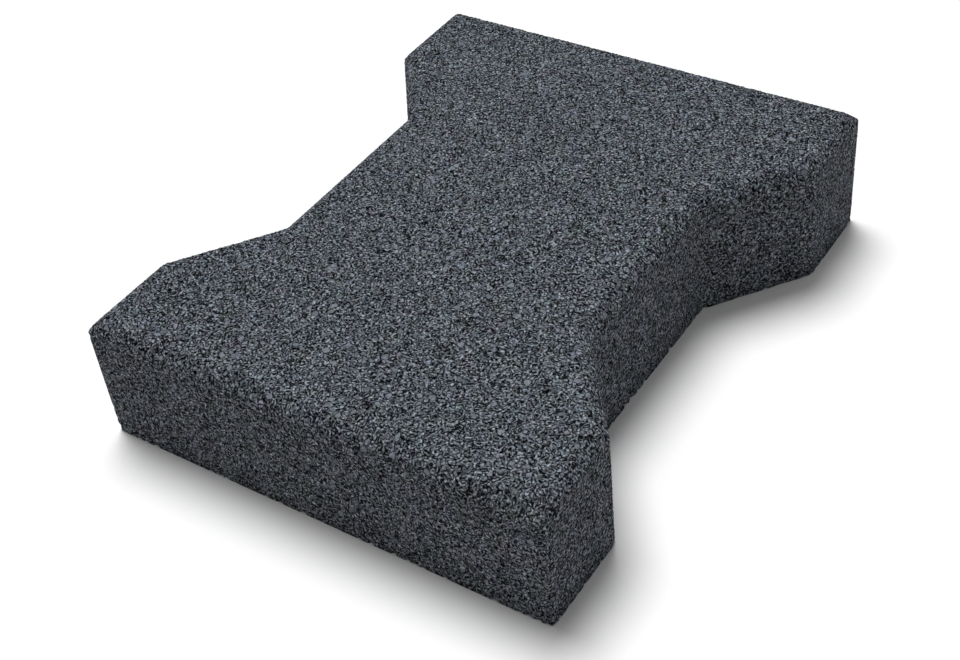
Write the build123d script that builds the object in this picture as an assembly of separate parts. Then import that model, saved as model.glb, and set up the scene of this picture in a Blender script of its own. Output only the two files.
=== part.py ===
from build123d import *
from math import atan2, tan
import os

# A paving tile pressed in one piece from rubber granulate. Seen from above it is a double T: a wide head
# at each end and a narrow waist between them, so that the heads of the next row lock in beside the waist.
# Lengths are in millimetres. X runs across the tile, Y along it from head to head and Z up. The origin is
# on the ground, under the middle of the tile.

# Plan of the tile
tile_length = 200.0
head_width = 160.0
waist_width = 112.0
head_flank_length = 34.0
outward_corner_radius = 1.5
inward_corner_radius = 3.0

# Height of the tile, and the bevel that runs all round its tread
tile_thickness = 45.0
bevel_inset = 3.5
bevel_drop = 3.5
tread_edge_radius = 1.5
shoulder_radius = 2.0

# Two heads of the next row meet in each notch, so the waist's flank is as long as two head flanks.
waist_flank_length = 2 * head_flank_length
shoulder_height = tile_thickness - bevel_drop


def plan(inset):
    """The tile's plan, with every side moved in by the inset and every corner rounded as the mould is."""
    end_y = tile_length / 2 - inset
    head_x = head_width / 2 - inset
    waist_x = waist_width / 2 - inset
    slope_outer_y = tile_length / 2 - head_flank_length
    slope_inner_y = waist_flank_length / 2
    slope_turn = atan2(head_x - waist_x, slope_outer_y - slope_inner_y)
    corner_shift = inset * tan(slope_turn / 2)
    slope_head = (head_x, slope_outer_y + corner_shift)
    slope_waist = (waist_x, slope_inner_y + corner_shift)
    quarter = [(head_x, end_y), slope_head, slope_waist]
    quarter_radii = [outward_corner_radius, outward_corner_radius, inward_corner_radius]
    right = quarter + [(x, -y) for x, y in reversed(quarter)]
    left = [(-x, y) for x, y in reversed(right)]
    side_radii = quarter_radii + quarter_radii[::-1]
    rim = FilletPolyline(*right, *left, radius=side_radii + side_radii, close=True)
    return make_face(rim)


def paving_tile():
    """A straight-sided block with the bevelled tread on top, its two rims eased as rubber leaves a mould."""
    block = extrude(plan(0), amount=shoulder_height)
    shoulder = Pos(0, 0, shoulder_height) * plan(0)
    tread = Pos(0, 0, tile_thickness) * plan(bevel_inset)
    tile = block + loft([shoulder, tread], ruled=True)
    shoulder_rim = tile.edges().filter_by_position(Axis.Z, shoulder_height, shoulder_height)
    tile = fillet(shoulder_rim, shoulder_radius)
    tread_rim = tile.edges().filter_by_position(Axis.Z, tile_thickness, tile_thickness)
    return fillet(tread_rim, tread_edge_radius)


os.makedirs("parts", exist_ok=True)
export_step(paving_tile(), "parts/paving_tile.step")
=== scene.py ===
import math
import random

import bmesh
import bpy
from mathutils import Matrix, Vector
from mathutils.kdtree import KDTree


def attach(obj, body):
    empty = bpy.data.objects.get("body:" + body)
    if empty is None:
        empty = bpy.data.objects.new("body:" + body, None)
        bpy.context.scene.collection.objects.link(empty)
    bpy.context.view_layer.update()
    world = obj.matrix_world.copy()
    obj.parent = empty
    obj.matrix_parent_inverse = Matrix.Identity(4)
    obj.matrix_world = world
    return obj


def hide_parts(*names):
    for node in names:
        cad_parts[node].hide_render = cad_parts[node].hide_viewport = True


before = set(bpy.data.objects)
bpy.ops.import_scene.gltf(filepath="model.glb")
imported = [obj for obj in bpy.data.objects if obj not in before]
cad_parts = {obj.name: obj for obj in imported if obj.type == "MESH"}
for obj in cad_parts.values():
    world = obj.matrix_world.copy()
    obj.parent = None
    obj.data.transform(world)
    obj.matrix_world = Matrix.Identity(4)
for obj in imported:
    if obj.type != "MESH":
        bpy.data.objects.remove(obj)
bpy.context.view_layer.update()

# The tile is one block of shredded tyre rubber, pressed hot in a mould with a polyurethane binder. Its
# granules of 1 to 3 mm lie packed against the mould's wall, with shallow crevices between them. Here the
# block's own surface is drawn together into low granules, so that the tile stays one closed body.
MM = 0.001
WELD = 0.001 * MM
SKIN_MESH_SIZE = 0.5 * MM
SMALLEST_GRANULE = 1.1 * MM
LARGEST_GRANULE = 3.0 * MM
LARGE_RARITY = 5
CREVICE_DEPTH = 0.14 * MM
CREVICE_WANDER = 0.25 * MM
GRANULE_STEP = 0.07 * MM
RIM_SHARPNESS = 1.012
RIM_ANGLE = math.radians(35)
SEED = 7


def even_skin(node):
    """A copy of the block's surface in fine triangles of about one size."""
    form = bpy.data.objects.new("form", node.data.copy())
    bpy.context.collection.objects.link(form)
    block = bmesh.new()
    block.from_mesh(form.data)
    bmesh.ops.remove_doubles(block, verts=block.verts, dist=WELD)
    block.to_mesh(form.data)
    block.free()
    squares = form.modifiers.new("even squares", "REMESH")
    squares.mode = "VOXEL"
    squares.voxel_size = SKIN_MESH_SIZE
    skin = bmesh.new()
    skin.from_object(form, bpy.context.evaluated_depsgraph_get())
    bpy.data.objects.remove(form)
    bmesh.ops.triangulate(skin, faces=skin.faces)
    return skin


def granule_centres(skin, chance):
    """Points of the skin in random order, rims first, that leave each granule room for its own size."""
    centres = {}
    verts = list(skin.verts)
    chance.shuffle(verts)
    verts.sort(key=lambda vert: vert.calc_shell_factor() < RIM_SHARPNESS)
    for vert in verts:
        point = vert.co.copy()
        size = SMALLEST_GRANULE + (LARGEST_GRANULE - SMALLEST_GRANULE) * chance.random() ** LARGE_RARITY
        box = [math.floor(value / LARGEST_GRANULE) for value in point]
        near = (
            centre
            for x in (-1, 0, 1) for y in (-1, 0, 1) for z in (-1, 0, 1)
            for centre in centres.get((box[0] + x, box[1] + y, box[2] + z), ())
        )
        if all((point - other).length > (size + other_size) / 2 for other, other_size in near):
            centres.setdefault(tuple(box), []).append((point, size))
    return [point for group in centres.values() for point, size in group]


def gather(skin, centres):
    """Draws each point of the skin to its nearest granule, which leaves triangles between the granules."""
    tree = KDTree(len(centres))
    for index, centre in enumerate(centres):
        tree.insert(centre, index)
    tree.balance()
    for vert in skin.verts:
        vert.co = tree.find(vert.co)[0]
    bmesh.ops.remove_doubles(skin, verts=skin.verts, dist=WELD)
    open_edges = [edge for edge in skin.edges if len(edge.link_faces) != 2]
    while open_edges:
        bmesh.ops.collapse(skin, edges=open_edges)
        bmesh.ops.remove_doubles(skin, verts=skin.verts, dist=WELD)
        open_edges = [edge for edge in skin.edges if len(edge.link_faces) != 2]


def open_crevices(skin, chance):
    """Sinks a point between every three granules and, off the rims, turns the lines to join such points."""
    skin.normal_update()
    for top in skin.verts:
        top.co -= top.normal * GRANULE_STEP * chance.random()
    lines = [line for line in skin.edges if line.calc_face_angle() < RIM_ANGLE]
    for crevice in bmesh.ops.poke(skin, faces=skin.faces, offset=-CREVICE_DEPTH)["verts"]:
        toward = crevice.link_edges[chance.randrange(3)].other_vert(crevice).co - crevice.co
        crevice.co += toward.normalized() * CREVICE_WANDER * chance.random()
    bmesh.ops.rotate_edges(skin, edges=lines)


chance = random.Random(SEED)
skin = even_skin(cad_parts["paving_tile"])
gather(skin, granule_centres(skin, chance))
open_crevices(skin, chance)
mesh = bpy.data.meshes.new("granulate_tile")
skin.to_mesh(mesh)
skin.free()
tile = bpy.data.objects.new("granulate_tile", mesh)
bpy.context.collection.objects.link(tile)


def linear(hex_colour):
    """An sRGB hex colour as linear red, green, blue and alpha, by the curve of the sRGB standard."""
    values = [int(hex_colour[at:at + 2], 16) / 255 for at in (1, 3, 5)]
    return [v / 12.92 if v <= 0.04045 else ((v + 0.055) / 1.055) ** 2.4 for v in values] + [1.0]


def add(tree, kind, settings=None, links=None):
    """Adds a node, sets its properties and socket values, and links sockets given as (node, output)."""
    node = tree.nodes.new(kind)
    for name, value in (settings or {}).items():
        if isinstance(name, str) and hasattr(node, name):
            setattr(node, name, value)
        else:
            node.inputs[name].default_value = value
    for name, (source, output) in (links or {}).items():
        tree.links.new(source.outputs[output], node.inputs[name])
    return node


# Black tyre rubber, torn to crumbs and pressed while the binder is wet. The torn faces scatter light, so
# the eye sees slate grey strands that curl between thin, near black gaps, and hardly any shine. The gaps
# are the rubber's own black deepened by painted shade of crevices. Each crumb has a dark outline of painted
# shade, as a crevice between crumbs would have, and here and there one shows its smooth side as a paler,
# plain flake.
CRUMB_SIZE = 1.75 * MM
CRUMB_BEND = 0.6 * MM
CRUMB_BEND_SIZE = 1.0 * MM
CRUMB_BEND_DETAIL = 1.0
CRUMB_PAINTED_SHADE_WIDTH = 0.04
CRUMB_SHIFT = 20 * MM
SWELL_SIZE = 1.6 * MM
SWELL_DETAIL = 0.2
STRAND_SPACING = 0.30
STRAND_GAP_BLACK_AND_SHADE = (0.02, 0.13)
STRAND_HEIGHT = 0.04 * MM
FLECK_SIZE = 0.7 * MM
FLECK_DETAIL = 0.0
FLECK_RANGE = (0.25, 0.80)
FLECK_CONTRAST = 1.7
FLECK_FLOOR = 0.18
FLAKE_SHARE = 0.06
FLAKE_TONE = 0.27
FLAKE_GRAIN = 0.20
FLAKE_VARIETY = 0.6
FLAKE_PAINTED_SHADE_RANGE = (0.04, 0.10)
TINT_SIZE = 5 * MM
TINT_DETAIL = 1.0
TINT_SPREAD = 0.2
NOISE_MIDDLE = (0.5, 0.5, 0.5)
PATTERN_TURN = (math.radians(33), math.radians(21), math.radians(14))
# Near black, in the gaps and outlines: the rubber's own black deepened by painted shade of crevices.
GAP_BLACK_AND_PAINTED_SHADE = linear("#030304")
STRAND_COLOUR = linear("#aeb7c2")
ROUGHNESS = 0.8
SPECULAR = 0.01

# A Mix node has several sockets of one name, so they are asked for by their places.
FIRST_NUMBER, SECOND_NUMBER, MIXED_NUMBER = 2, 3, 0
FIRST_COLOUR, SECOND_COLOUR, MIXED_COLOUR = 6, 7, 2

rubber = bpy.data.materials.new("shredded tyre rubber in polyurethane binder, hot pressed")
rubber.use_nodes = True
tree = rubber.node_tree
tree.nodes.clear()
place = add(tree, "ShaderNodeTexCoord")

# Crumbs are cells with bent walls. All patterns lie askew in the tile, so that none of its faces runs along
# their grid.
askew = add(tree, "ShaderNodeMapping", {"Rotation": PATTERN_TURN}, {"Vector": (place, "Object")})
wobble = add(tree, "ShaderNodeTexNoise", {"Scale": 1 / CRUMB_BEND_SIZE, "Detail": CRUMB_BEND_DETAIL},
             {"Vector": (askew, "Vector")})
centred = add(tree, "ShaderNodeVectorMath", {"operation": "SUBTRACT", 1: NOISE_MIDDLE},
              {0: (wobble, "Color")})
bend = add(tree, "ShaderNodeVectorMath", {"operation": "SCALE", "Scale": CRUMB_BEND},
           {0: (centred, "Vector")})
bent = add(tree, "ShaderNodeVectorMath", {"operation": "ADD"},
           {0: (askew, "Vector"), 1: (bend, "Vector")})
crumb = add(tree, "ShaderNodeTexVoronoi", {"Scale": 1 / CRUMB_SIZE}, {"Vector": (bent, "Vector")})
crumb_edge = add(tree, "ShaderNodeTexVoronoi", {"feature": "DISTANCE_TO_EDGE", "Scale": 1 / CRUMB_SIZE},
                 {"Vector": (bent, "Vector")})
crumb_value = add(tree, "ShaderNodeSeparateColor", links={"Color": (crumb, "Color")})

# Strands are the level lines of a smooth swell whose height runs from 0 to 1. Real torn fibres lie about
# 0.1 mm apart, too fine to show, so the strands are drawn several times as coarse. Every crumb carries
# another piece of them, so they break off at its edge.
shift = add(tree, "ShaderNodeVectorMath", {"operation": "SCALE", "Scale": CRUMB_SHIFT},
            {0: (crumb, "Color")})
shifted = add(tree, "ShaderNodeVectorMath", {"operation": "ADD"},
              {0: (askew, "Vector"), 1: (shift, "Vector")})
swell = add(tree, "ShaderNodeTexNoise", {"Scale": 1 / SWELL_SIZE, "Detail": SWELL_DETAIL},
            {"Vector": (shifted, "Vector")})
strand = add(tree, "ShaderNodeMath", {"operation": "PINGPONG", 1: STRAND_SPACING / 2},
             {0: (swell, "Fac")})
# Between the strands the tone falls to nought: the rubber's own black, deepened to near black by painted
# crevice shade.
strand_body_and_gap_shade = add(tree, "ShaderNodeMapRange", {"From Min": STRAND_GAP_BLACK_AND_SHADE[0], "From Max": STRAND_GAP_BLACK_AND_SHADE[1]},
                  {"Value": (strand, "Value")})

# Flecks make a strand lighter and darker along its length.
fleck = add(tree, "ShaderNodeTexNoise", {"Scale": 1 / FLECK_SIZE, "Detail": FLECK_DETAIL},
            {"Vector": (shifted, "Vector")})
lift = add(tree, "ShaderNodeMapRange", {"From Min": FLECK_RANGE[0], "From Max": FLECK_RANGE[1]},
           {"Value": (fleck, "Fac")})
sharper = add(tree, "ShaderNodeMath", {"operation": "POWER", 1: FLECK_CONTRAST}, {0: (lift, "Result")})
fleck_tone = add(tree, "ShaderNodeMath", {"operation": "MULTIPLY_ADD", 1: 1 - FLECK_FLOOR, 2: FLECK_FLOOR},
                 {0: (sharper, "Value")})
strand_tone = add(tree, "ShaderNodeMath", {"operation": "MULTIPLY"},
                  {0: (fleck_tone, "Value"), 1: (strand_body_and_gap_shade, "Result")})
# Painted shade: the tone falls to nought towards each crumb's edge, as if the crevice between crumbs were
# in shade.
crumb_painted_edge_shade = add(tree, "ShaderNodeMapRange", {"From Max": CRUMB_PAINTED_SHADE_WIDTH},
                 {"Value": (crumb_edge, "Distance")})
torn = add(tree, "ShaderNodeMath", {"operation": "MULTIPLY"},
           {0: (strand_tone, "Value"), 1: (crumb_painted_edge_shade, "Result")})

# A flake is nearly plain, with a broader outline of painted shade, and every flake has a tone of its own.
plain = add(tree, "ShaderNodeMath", {"operation": "MULTIPLY_ADD", 1: FLAKE_GRAIN, 2: FLAKE_TONE},
            {0: (lift, "Result")})
own_tone = add(tree, "ShaderNodeMath",
               {"operation": "MULTIPLY_ADD", 1: FLAKE_VARIETY, 2: 1 - FLAKE_VARIETY / 2},
               {0: (crumb_value, "Red")})
flake_tone = add(tree, "ShaderNodeMath", {"operation": "MULTIPLY"},
                 {0: (plain, "Value"), 1: (own_tone, "Value")})
flake_painted_edge_shade = add(tree, "ShaderNodeMapRange", {"From Min": FLAKE_PAINTED_SHADE_RANGE[0], "From Max": FLAKE_PAINTED_SHADE_RANGE[1]},
                 {"Value": (crumb_edge, "Distance")})
flake = add(tree, "ShaderNodeMath", {"operation": "MULTIPLY"},
            {0: (flake_tone, "Value"), 1: (flake_painted_edge_shade, "Result")})
is_flake = add(tree, "ShaderNodeMath", {"operation": "LESS_THAN", 1: FLAKE_SHARE},
               {0: (crumb_value, "Green")})
tone = add(tree, "ShaderNodeMix",
           links={0: (is_flake, "Value"), FIRST_NUMBER: (torn, "Value"), SECOND_NUMBER: (flake, "Value")})
grey = add(tree, "ShaderNodeMix",
           {"data_type": "RGBA", FIRST_COLOUR: GAP_BLACK_AND_PAINTED_SHADE, SECOND_COLOUR: STRAND_COLOUR},
           {0: (tone, MIXED_NUMBER)})

# Patches of some millimetres differ faintly in tint, as rubber from different tyres does.
patch = add(tree, "ShaderNodeTexNoise", {"Scale": 1 / TINT_SIZE, "Detail": TINT_DETAIL},
            {"Vector": (askew, "Vector")})
tint = add(tree, "ShaderNodeVectorMath",
           {"operation": "MULTIPLY_ADD", 1: (TINT_SPREAD,) * 3, 2: (1 - TINT_SPREAD / 2,) * 3},
           {0: (patch, "Color")})
colour = add(tree, "ShaderNodeVectorMath", {"operation": "MULTIPLY"},
             {0: (grey, MIXED_COLOUR), 1: (tint, "Vector")})
bump = add(tree, "ShaderNodeBump", {"Distance": STRAND_HEIGHT}, {"Height": (tone, MIXED_NUMBER)})
surface = add(tree, "ShaderNodeBsdfPrincipled", {"Roughness": ROUGHNESS, "Specular IOR Level": SPECULAR},
              {"Base Color": (colour, "Vector"), "Normal": (bump, "Normal")})
add(tree, "ShaderNodeOutputMaterial", links={"Surface": (surface, "BSDF")})
mesh.materials.append(rubber)
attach(tile, "root")
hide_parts("paving_tile")

# The floor is plain white paper that keeps the tile's soft shadow. Only what looks straight at it sees it
# fully white: the light that it throws back onto the tile is a little dimmer and warmer.
FLOOR_HALF_WIDTH = 3.0
FLOOR_DROP = 0.02 * MM
BOUNCE_COLOUR = linear("#f9f3f2")
SEEN_COLOUR = linear("#ffffff")


def seen_directly(tree):
    """One for a ray from the camera, also where gloss or glass has turned it, and nought for any other."""
    ray = add(tree, "ShaderNodeLightPath")
    turned = add(tree, "ShaderNodeMath", {"operation": "MAXIMUM"},
                 {0: (ray, "Is Glossy Ray"), 1: (ray, "Is Transmission Ray")})
    return add(tree, "ShaderNodeMath", {"operation": "MAXIMUM"},
               {0: (turned, "Value"), 1: (ray, "Is Camera Ray")})


floor_mesh = bpy.data.meshes.new("floor")
sheet = bmesh.new()
bmesh.ops.create_grid(sheet, x_segments=1, y_segments=1, size=FLOOR_HALF_WIDTH)
bmesh.ops.translate(sheet, verts=sheet.verts, vec=(0, 0, -FLOOR_DROP))
sheet.to_mesh(floor_mesh)
sheet.free()
floor = bpy.data.objects.new("floor", floor_mesh)
bpy.context.collection.objects.link(floor)
paper = bpy.data.materials.new("white paper")
paper.use_nodes = True
tree = paper.node_tree
tree.nodes.clear()
seen = seen_directly(tree)
shade = add(tree, "ShaderNodeMix",
            {"data_type": "RGBA", FIRST_COLOUR: BOUNCE_COLOUR, SECOND_COLOUR: SEEN_COLOUR},
            {0: (seen, "Value")})
matt = add(tree, "ShaderNodeBsdfDiffuse", links={"Color": (shade, MIXED_COLOUR)})
add(tree, "ShaderNodeOutputMaterial", links={"Surface": (matt, "BSDF")})
floor_mesh.materials.append(paper)

# Soft daylight comes from high up, a little behind the tile and to its left, and a white room fills the
# rest. What looks straight at the room sees it fully white, as it does the floor.
SUN_FROM = Vector((-0.29, 0.22, 1.0))
SUN_STRENGTH = 2.7
SUN_SPREAD = math.radians(28)
ROOM_COLOUR = linear("#ffffff")
ROOM_STRENGTH = 0.25
SEEN_STRENGTH = 1.0
sun = bpy.data.lights.new("sun", "SUN")
sun.energy = SUN_STRENGTH
sun.angle = SUN_SPREAD
sun_lamp = bpy.data.objects.new("sun", sun)
sun_lamp.rotation_euler = (-SUN_FROM).to_track_quat("-Z", "Y").to_euler()
bpy.context.collection.objects.link(sun_lamp)
room = bpy.data.worlds.new("white room")
room.use_nodes = True
tree = room.node_tree
tree.nodes.clear()
seen = seen_directly(tree)
strength = add(tree, "ShaderNodeMapRange", {"To Min": ROOM_STRENGTH, "To Max": SEEN_STRENGTH},
               {"Value": (seen, "Value")})
glow = add(tree, "ShaderNodeBackground", {"Color": ROOM_COLOUR}, {"Strength": (strength, "Result")})
add(tree, "ShaderNodeOutputWorld", links={"Surface": (glow, "Background")})
bpy.context.scene.world = room

# The camera looks down over the near head with the view turned a little, as the photograph does. Its focal
# length is given in pixels of the photograph's width.
PHOTO_WIDTH_PX = 960
SENSOR_WIDTH_MM = 36.0
FOCAL_PX = 1569
AZIMUTH = math.radians(37.5)
ELEVATION = math.radians(41.3)
ROLL = math.radians(-6.8)
DISTANCE = 504.6 * MM
AIM_HEIGHT = 20 * MM
AIM_RIGHT = 5.4 * MM
AIM_UP = 18.4 * MM
turn = (Matrix.Rotation(AZIMUTH, 4, "Z") @ Matrix.Rotation(math.pi / 2 - ELEVATION, 4, "X")
        @ Matrix.Rotation(ROLL, 4, "Z"))
lens = bpy.data.cameras.new("camera")
lens.sensor_width = SENSOR_WIDTH_MM
lens.lens = FOCAL_PX / PHOTO_WIDTH_PX * SENSOR_WIDTH_MM
camera = bpy.data.objects.new("camera", lens)
stand = Vector((0, 0, AIM_HEIGHT)) + turn @ Vector((-AIM_RIGHT, -AIM_UP, DISTANCE))
camera.matrix_world = Matrix.Translation(stand) @ turn
bpy.context.collection.objects.link(camera)
bpy.context.scene.camera = camera
bpy.context.scene.view_settings.view_transform = "Standard"
